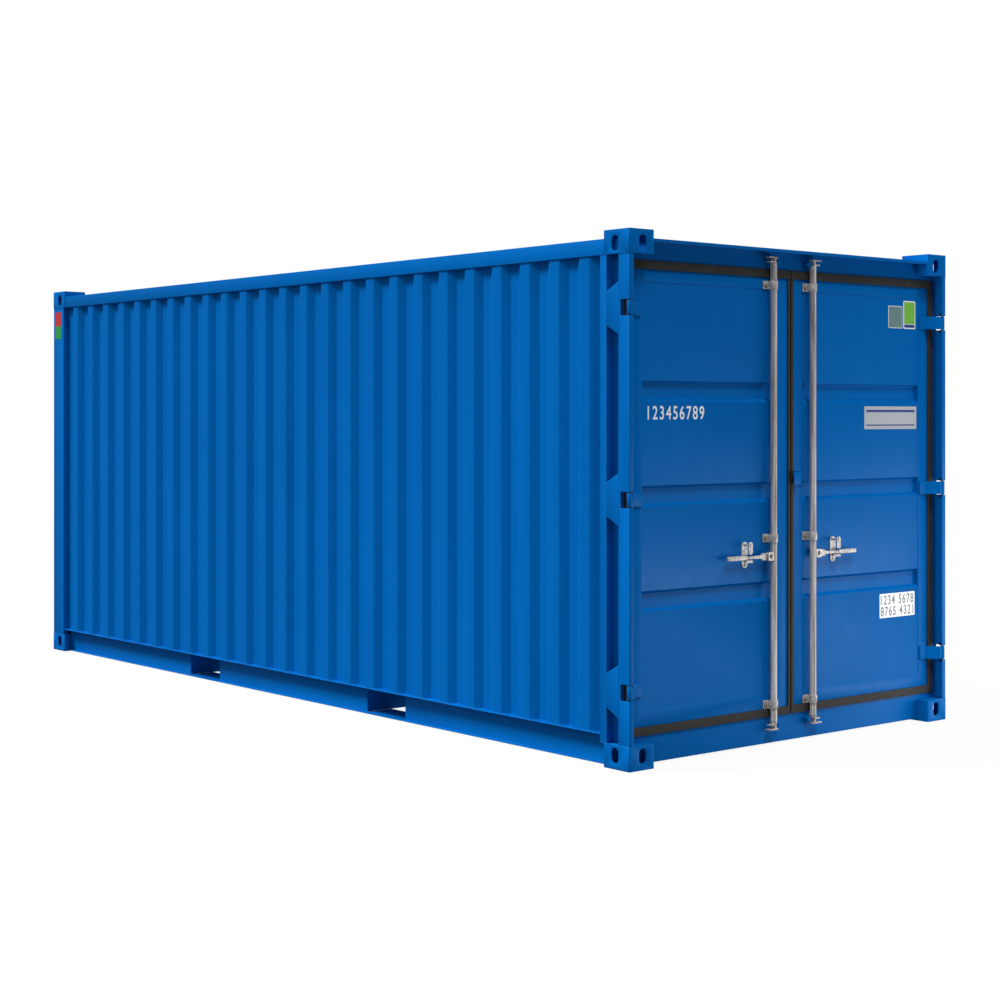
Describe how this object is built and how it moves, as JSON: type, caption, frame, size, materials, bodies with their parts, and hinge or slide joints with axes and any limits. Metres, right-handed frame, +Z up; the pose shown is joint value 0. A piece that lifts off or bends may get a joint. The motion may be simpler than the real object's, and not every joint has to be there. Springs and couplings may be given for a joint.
{
  "type": "20 foot steel shipping container",
  "caption": "Corrugated steel shipping container with corner fittings, fork pockets, plywood floor and two hinged end doors with locking bars and lift handles.",
  "frame": {"origin": "middle of the base, on the ground under the bottom corner fittings", "axes": "+X along the length towards the doors, +Y across the width, +Z up"},
  "size_m": [6.058, 2.438, 2.591],
  "materials": {
    "blue_paint": "semi gloss",
    "base_paint": "satin",
    "galvanised_steel": "matt",
    "zinc_plated_steel": "bright",
    "hinge_steel": "matt",
    "seal_rubber": "matt",
    "plywood": "varnished"
  },
  "bodies": {
    "container": {"bar_keepers": "blue_paint", "bottom_side_rails": "blue_paint", "corner_fittings_bottom": "blue_paint", "corner_fittings_top": "blue_paint", "cross_members": "base_paint", "door_header": "blue_paint", "door_post_left": "blue_paint", "door_post_right": "blue_paint", "door_sill": "blue_paint", "doorway_reveals": "blue_paint", "floor_boards": "plywood", "fork_opening_straps": "blue_paint", "fork_pocket_roofs": "base_paint", "fork_pocket_sides": "base_paint", "hinge_gussets": "blue_paint", "hinge_pins": "hinge_steel", "rear_bottom_rail": "blue_paint", "rear_posts": "blue_paint", "rear_top_rail": "blue_paint", "rear_wall": "blue_paint", "roof": "blue_paint", "side_wall_left": "blue_paint", "side_wall_right": "blue_paint", "top_side_rails": "blue_paint"},
    "door_left": {"door_leaf_left": "blue_paint", "door_seal_left": "seal_rubber", "hinge_blades_left": "blue_paint", "bar_guides_left": "galvanised_steel", "handle_retainer_left": "zinc_plated_steel"},
    "bar_left": {"locking_bar_left": "galvanised_steel", "bar_cams_left": "galvanised_steel", "handle_hub_left": "galvanised_steel"},
    "handle_left": {"bar_handle_left": "zinc_plated_steel"},
    "catch_left": {"handle_catch_left": "zinc_plated_steel"},
    "door_right": {"door_leaf_right": "blue_paint", "door_seal_right": "seal_rubber", "hinge_blades_right": "blue_paint", "bar_guides_right": "galvanised_steel", "handle_retainer_right": "zinc_plated_steel", "centre_tab": "blue_paint"},
    "bar_right": {"locking_bar_right": "galvanised_steel", "bar_cams_right": "galvanised_steel", "handle_hub_right": "galvanised_steel"},
    "handle_right": {"bar_handle_right": "zinc_plated_steel"},
    "catch_right": {"handle_catch_right": "zinc_plated_steel"}
  },
  "joints": [
    {"name": "door_left_swing", "type": "hinge", "parent": "container", "child": "door_left", "pos_m": [3.015, -1.205, 1.294], "axis": [0, 0, 1], "range_deg": [-270, 0]},
    {"name": "bar_left_turn", "type": "hinge", "parent": "door_left", "child": "bar_left", "pos_m": [2.98185, -0.152, 0.975], "axis": [0, 0, 1], "range_deg": [0, 110]},
    {"name": "handle_left_lift", "type": "hinge", "parent": "bar_left", "child": "handle_left", "pos_m": [2.98085, -0.185, 0.975], "axis": [-1, 0, 0], "range_deg": [0, 12]},
    {"name": "catch_left_swivel", "type": "hinge", "parent": "door_left", "child": "catch_left", "pos_m": [2.99585, -0.341, 1.04], "axis": [-1, 0, 0], "range_deg": [0, 90]},
    {"name": "door_right_swing", "type": "hinge", "parent": "container", "child": "door_right", "pos_m": [3.015, 1.205, 1.294], "axis": [0, 0, -1], "range_deg": [-270, 0]},
    {"name": "bar_right_turn", "type": "hinge", "parent": "door_right", "child": "bar_right", "pos_m": [2.98185, 0.152, 0.975], "axis": [0, 0, -1], "range_deg": [0, 110]},
    {"name": "handle_right_lift", "type": "hinge", "parent": "bar_right", "child": "handle_right", "pos_m": [2.98085, 0.185, 0.975], "axis": [1, 0, 0], "range_deg": [0, 12]},
    {"name": "catch_right_swivel", "type": "hinge", "parent": "door_right", "child": "catch_right", "pos_m": [2.99585, 0.341, 1.04], "axis": [1, 0, 0], "range_deg": [0, 90]}
  ]
}
